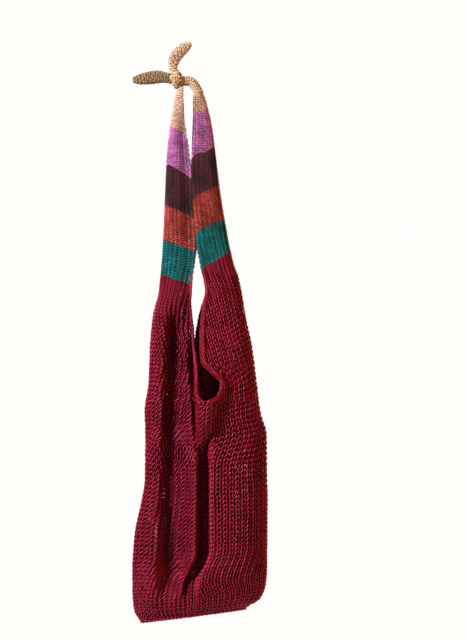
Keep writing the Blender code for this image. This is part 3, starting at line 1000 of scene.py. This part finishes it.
def tail(row):
    away = np.array(row.direction, float) / np.linalg.norm(row.direction)
    shares = np.linspace(0, 1, PATH_POINTS)
    x = column(row.rolls, "x", shares) * (row.length + TAIL_START)
    z = column(row.rolls, "z", shares) * (row.length + TAIL_START)
    path = knot_edge(row.direction) - away * TAIL_START + np.stack([x, 0 * x, z], axis=1)
    radii = column(row.rolls, "radius", shares) * row.width / 2
    strands = pipe_courses(pipe(path, radii, FRONT, TAIL_FLAT), TAIL_WALES, row.courses, TAN_YARN)
    yarn(row.name + "_knit", strands, TAN_YARN.radius, "tan", row.name, row.dye)


for row in TAILS:
    tail(row)

# %% [markdown]
# The loop's middle line goes straight up out of the strap, bends over to the left in an arc, and
# runs level above the hanging point into the knot.

# %% Knit the loop
ROLL_RADIUS = 0.0062
LOOP_DROP = 0.0126  # how far its foot lies below the hanging point
LOOP_OVERLAP = 0.004  # how far it reaches down into the strap
LOOP_FOOT = 0.003  # its straight stretch above the foot
LOOP_BEND = 0.0095  # the radius of its arc
LOOP_TURN = 25.0  # degrees of a quarter turn that its arc leaves out
ARC_POINTS = 8
SEAT_DEPTH = 0.002  # how far it reaches into the knot
LOOP_WALES = 11
LOOP_COURSES = 12

foot = np.array([strap_middle(RIGHT, LOOP_DROP), 0.0, -LOOP_DROP])
turns = np.radians(np.linspace(LOOP_TURN, 90, ARC_POINTS))
arc = np.stack(
    [LOOP_BEND * np.cos(turns), 0 * turns, ROLL_RADIUS + LOOP_BEND * (np.sin(turns) - 1)], axis=1
)
seat = knot_edge((1, 0, 0)) - np.array([SEAT_DEPTH, 0, 0])
seat[2] = ROLL_RADIUS
straight = [foot - [0, 0, LOOP_OVERLAP], foot, foot + [0, 0, LOOP_FOOT]]
bend = np.concatenate([straight, arc, [seat]])
reached = np.append(0, np.cumsum(np.linalg.norm(np.diff(bend, axis=0), axis=1)))
evenly = np.linspace(0, reached[-1], PATH_POINTS)
path = np.stack([np.interp(evenly, reached, bend[:, k]) for k in range(3)], axis=1)
cloth = pipe(path, np.full(len(path), ROLL_RADIUS), FRONT, 1.0)
strands = pipe_courses(cloth, LOOP_WALES, LOOP_COURSES, TAN_YARN)
yarn("hanging_loop_knit", strands, TAN_YARN.radius, "tan", "hanging_loop")

# %% Knit the knot
CORE = 0.86  # the ball's size in shares of the whole knot's
CORE_POLE = 0.02  # the turn that is left open at the ball's top and at its foot
CORE_POINTS = 40
CORE_WALES = 13
CORE_COURSES = 8
WRAP_SLOPE = math.radians(47)  # how steeply the wrap falls to the right
WRAP_REACH = (0.0078, 0.0086)  # the wrap's middle line, along its slope and front to rear
WRAP_WIDTH = 0.0062
WRAP_FLAT = 0.42
WRAP_POINTS = 80
WRAP_WALES = 10
WRAP_COURSES = 15

turns = np.linspace(CORE_POLE, np.pi - CORE_POLE, CORE_POINTS)
path = KNOT_CENTRE + np.stack([0 * turns, 0 * turns, CORE * KNOT_HALF[2] * np.cos(turns)], axis=1)
ball = pipe(path, CORE * KNOT_HALF[0] * np.sin(turns), FRONT, KNOT_HALF[1] / KNOT_HALF[0])
strands = pipe_courses(ball, CORE_WALES, CORE_COURSES, TAN_YARN)

turns = np.linspace(0, 2 * np.pi, WRAP_POINTS)
slope = np.array([math.cos(WRAP_SLOPE), 0, -math.sin(WRAP_SLOPE)])
radial = np.outer(WRAP_REACH[0] * np.cos(turns), slope)
radial = radial + np.outer(WRAP_REACH[1] * np.sin(turns), FRONT)
wrap = pipe(KNOT_CENTRE + radial, np.full(len(turns), WRAP_WIDTH), radial, WRAP_FLAT)
strands = strands + pipe_courses(wrap, WRAP_WALES, WRAP_COURSES, TAN_YARN)
yarn("knot_knit", strands, TAN_YARN.radius, "tan", "knot")

# %% [markdown]
# ## Rims
# The edges of a neckline are bound by the yarn that turns back there after each course. It lies
# along the edge as strands twisted round each other. On the right half's front edge the knit
# also curls over, so more strands lie there in a broader roll. A rim is thin at its two ends, and
# the front ones stand a little proud of the cloth below the straps.

# %% Lay the rims
Rim = namedtuple("Rim", "name side across last strands width inset lift")
RIMS = (
    Rim("left_front_rim", LEFT, 0, FRONT_JOIN, 4, 0.0017, 0.002, 0.008),
    Rim("right_front_rim", RIGHT, 0, FRONT_JOIN, 6, 0.0030, 0.012, 0.001),
    Rim("left_rear_rim", LEFT, 1, REAR_JOIN, 2, 0.0011, 0.002, 0.0),
    Rim("right_rear_rim", RIGHT, 1, REAR_JOIN, 2, 0.0011, 0.002, 0.0),
)
RIM_FLAT = 0.6
RIM_TWIST = 0.011  # metres of edge to one turn, for each strand
RIM_YARN = 0.0010
RIM_POINTS = 160
RIM_THIN = 0.45  # its width at its ends, in shares of its full width
RIM_WIDENS = 0.20  # levels below its upper end in which it widens
RIM_NARROWS = 0.03  # levels above its foot in which it narrows
LIFT_FIRST = 1.12  # the level where it starts to stand proud
LIFT_GROWS = 0.10
LIFT_FADES = 0.02


def rim(row):
    levels = np.linspace(1, row.last, RIM_POINTS)
    across = np.full(len(levels), abs(row.across - row.inset))
    cloth = HALVES[row.side]
    path = read_grid(cloth.points, across, levels / LAST_LEVEL)
    facing = read_grid(cloth.outward, across, levels / LAST_LEVEL)
    above_foot = row.last - levels
    widened = eased((levels - 1) / RIM_WIDENS) * eased(above_foot / RIM_NARROWS)
    fullness = RIM_THIN + (1 - RIM_THIN) * widened
    raised = eased((levels - LIFT_FIRST) / LIFT_GROWS) * eased(above_foot / LIFT_FADES)
    path = path + np.outer(row.lift * raised, FRONT)
    edge = pipe(path, row.width * fullness, facing, RIM_FLAT)
    length = np.append(0, np.cumsum(np.linalg.norm(np.diff(path, axis=0), axis=1)))
    down = np.linspace(0, 1, len(levels))
    strands = []
    for k in range(row.strands):
        around = (length / (RIM_TWIST * row.strands / 2) + k / row.strands) % 1
        places = read_grid(edge.points, around, down)
        strands.append((np.column_stack([places, 1 + 0 * down, 1 + 0 * down]), False))
    yarn(row.name, strands, RIM_YARN, "crimson", None)


for row in RIMS:
    rim(row)

# %% [markdown]
# ## Finishes
# The yarn is smooth cotton with a soft shine. Its twist is drawn on the map that runs along each
# strand: two plies wind round each other, so light and bump follow slanting waves. Where the bump
# is low the colour is darker: on the tan yarn that is its brown ply, on the other yarns it is
# painted shade in the groove between the plies. The colour drifts a little from place to place,
# as hand-dyed yarn does. Where the yarn is tucked in behind the next loop, shade is painted into
# its colour, because little light gets in among the fibres there. In the close knit of the straps
# this painted shade sets in early, and in the open knit late. The tan yarn is a marl, which means
# that one of its plies is brown.

# %% Yarn materials
# Painted shade where the yarn is tucked in: full at lying_out first, none at last, and shade is the
# darkest share of the colour
Tuck = namedtuple("Tuck", "first last shade")
OPEN_KNIT_SHADE = Tuck(-0.9, 0.5, 0.16)
CLOSE_KNIT_SHADE = Tuck(-0.5, 1.0, 0.04)
# other_ply darkens the colour where the ply bump is low: on tan it is the brown ply, on the other
# yarns painted shade in the groove between the plies
Dye = namedtuple("Dye", "light dark gloss other_ply roughness tuck")
DYES = {
    "crimson": Dye(
        (0.295, 0.007, 0.034), (0.185, 0.003, 0.014), (1.0, 0.28, 0.44), 0.70, 0.40, OPEN_KNIT_SHADE
    ),
    "teal": Dye(
        (0.008, 0.330, 0.370), (0.004, 0.105, 0.095), (0.4, 1.0, 1.0), 0.45, 0.40, CLOSE_KNIT_SHADE
    ),
    "rust": Dye(
        (0.88, 0.130, 0.110), (0.40, 0.042, 0.026), (1.0, 0.58, 0.55), 0.45, 0.42, CLOSE_KNIT_SHADE
    ),
    "plum": Dye(
        (0.122, 0.030, 0.042), (0.018, 0.004, 0.006), (0.9, 0.6, 0.65), 0.45, 0.40, CLOSE_KNIT_SHADE
    ),
    "orchid": Dye(
        (0.86, 0.290, 0.74), (0.42, 0.100, 0.34), (1.0, 0.75, 0.95), 0.45, 0.42, CLOSE_KNIT_SHADE
    ),
    "tan": Dye(
        (0.80, 0.54, 0.38), (0.58, 0.37, 0.24), (1.0, 0.95, 0.9), 0.42, 0.50, OPEN_KNIT_SHADE
    ),
    # a darker, more olive copy of the tan dye for the left tail: painted shade, not another yarn
    "painted_shade_tan": Dye(
        (0.40, 0.26, 0.125), (0.27, 0.165, 0.070), (1.0, 0.92, 0.8), 0.38, 0.55, OPEN_KNIT_SHADE
    ),
}
GLOSS_LEVEL = 0.6
PATCH_SCALE = 60.0  # noise patches to the metre
PATCH_DETAIL = 4.0
PATCH_ROUGHNESS = 0.75
DARK_PATCHES = 0.39  # the noise up to which the dye is at its darkest
LIGHT_PATCHES = 0.59  # the noise from which it is at its lightest
TWISTS_PER_STITCH = 5
WAVES_TO_UNIT = 3  # about how many waves Blender's wave texture draws to a unit
DARK_PLY_AND_SHADE_WAVE = 0.30  # the wave up to which the colour is darkest: brown ply on tan, painted groove shade elsewhere
PLAIN_WAVE = 0.60  # the wave from which the colour is plain
PLY_WARMTH = (1.0, 0.97, 0.92)
PLY_HEIGHT = 0.00025
PLY_BUMP = 0.6
PLAIN = (1.0, 1.0, 1.0, 1.0)


def ramp(tree, value, first, last):
    """A blend between two stops, each a value and its colour."""
    made = node(tree, "ValToRGB")
    for element, (position, colour) in zip(made.color_ramp.elements, (first, last)):
        element.position = position
        element.color = colour
    tree.links.new(value, made.inputs["Fac"])
    return made.outputs["Color"]


def shaded(tree, colour, shade):
    """A colour times a shade."""
    made = node(tree, "Mix", {"Factor": 1.0})
    made.data_type = "RGBA"
    made.blend_type = "MULTIPLY"
    tree.links.new(colour, made.inputs[6])
    tree.links.new(shade, made.inputs[7])
    return made.outputs[2]


def patchy_colour(tree, place, dye):
    grain = {"Scale": PATCH_SCALE, "Detail": PATCH_DETAIL, "Roughness": PATCH_ROUGHNESS}
    patches = node(tree, "TexNoise", grain)
    tree.links.new(place.outputs["Object"], patches.inputs["Vector"])
    dark, light = (DARK_PATCHES, (*dye.dark, 1)), (LIGHT_PATCHES, (*dye.light, 1))
    return ramp(tree, patches.outputs["Fac"], dark, light)


def ply_wave(tree, place):
    scale = (TWISTS_PER_STITCH / WAVES_TO_UNIT, 1 / WAVES_TO_UNIT, 1)
    stretch = node(tree, "Mapping", {"Scale": scale})
    tree.links.new(place.outputs["UV"], stretch.inputs["Vector"])
    wave = node(tree, "TexWave", {"Scale": 1.0})
    wave.wave_type = "BANDS"
    wave.bands_direction = "DIAGONAL"
    tree.links.new(stretch.outputs["Vector"], wave.inputs["Vector"])
    return wave.outputs["Fac"]


# Painted shade: a share of the colour that falls where the yarn lies tucked in behind the next loop
def painted_tuck_shade(tree, tuck):
    lying_out = node(tree, "Attribute")
    lying_out.attribute_name = "lying_out"
    shades = {"From Min": tuck.first, "From Max": tuck.last, "To Min": tuck.shade, "To Max": 1.0}
    tuck_shade_node = node(tree, "MapRange", shades)
    tuck_shade_node.interpolation_type = "SMOOTHSTEP"
    tree.links.new(lying_out.outputs["Fac"], tuck_shade_node.inputs["Value"])
    return tuck_shade_node.outputs["Result"]


def yarn_material(name):
    dye = DYES[name]
    made = bpy.data.materials.new(name + "_yarn_finish")
    made.use_nodes = True
    tree = made.node_tree
    shader = tree.nodes["Principled BSDF"]
    shader.inputs["Roughness"].default_value = dye.roughness
    shader.inputs["Specular Tint"].default_value = (*dye.gloss, 1)
    shader.inputs["Specular IOR Level"].default_value = GLOSS_LEVEL

    place = node(tree, "TexCoord")
    wave = ply_wave(tree, place)
    # the darkest band: the brown ply on tan, painted groove shade on the other yarns
    other = (*(dye.other_ply * warm for warm in PLY_WARMTH), 1)
    ply_and_groove_shade = ramp(tree, wave, (DARK_PLY_AND_SHADE_WAVE, other), (PLAIN_WAVE, PLAIN))
    plied_and_groove_shaded = shaded(tree, patchy_colour(tree, place, dye), ply_and_groove_shade)
    # the colour with painted shade where the yarn is tucked in behind the next loop
    tuck_shaded = shaded(tree, plied_and_groove_shaded, painted_tuck_shade(tree, dye.tuck))
    tree.links.new(tuck_shaded, shader.inputs["Base Color"])

    bump = node(tree, "Bump", {"Strength": PLY_BUMP, "Distance": PLY_HEIGHT})
    tree.links.new(wave, bump.inputs["Height"])
    tree.links.new(bump.outputs["Normal"], shader.inputs["Normal"])
    return made


MATERIALS = {name: yarn_material(name) for name in DYES}
for piece, slot in MADE:
    piece.data.materials.append(MATERIALS[slot])
print(len(MATERIALS), "dyes on", len(MADE), "pieces of yarn")
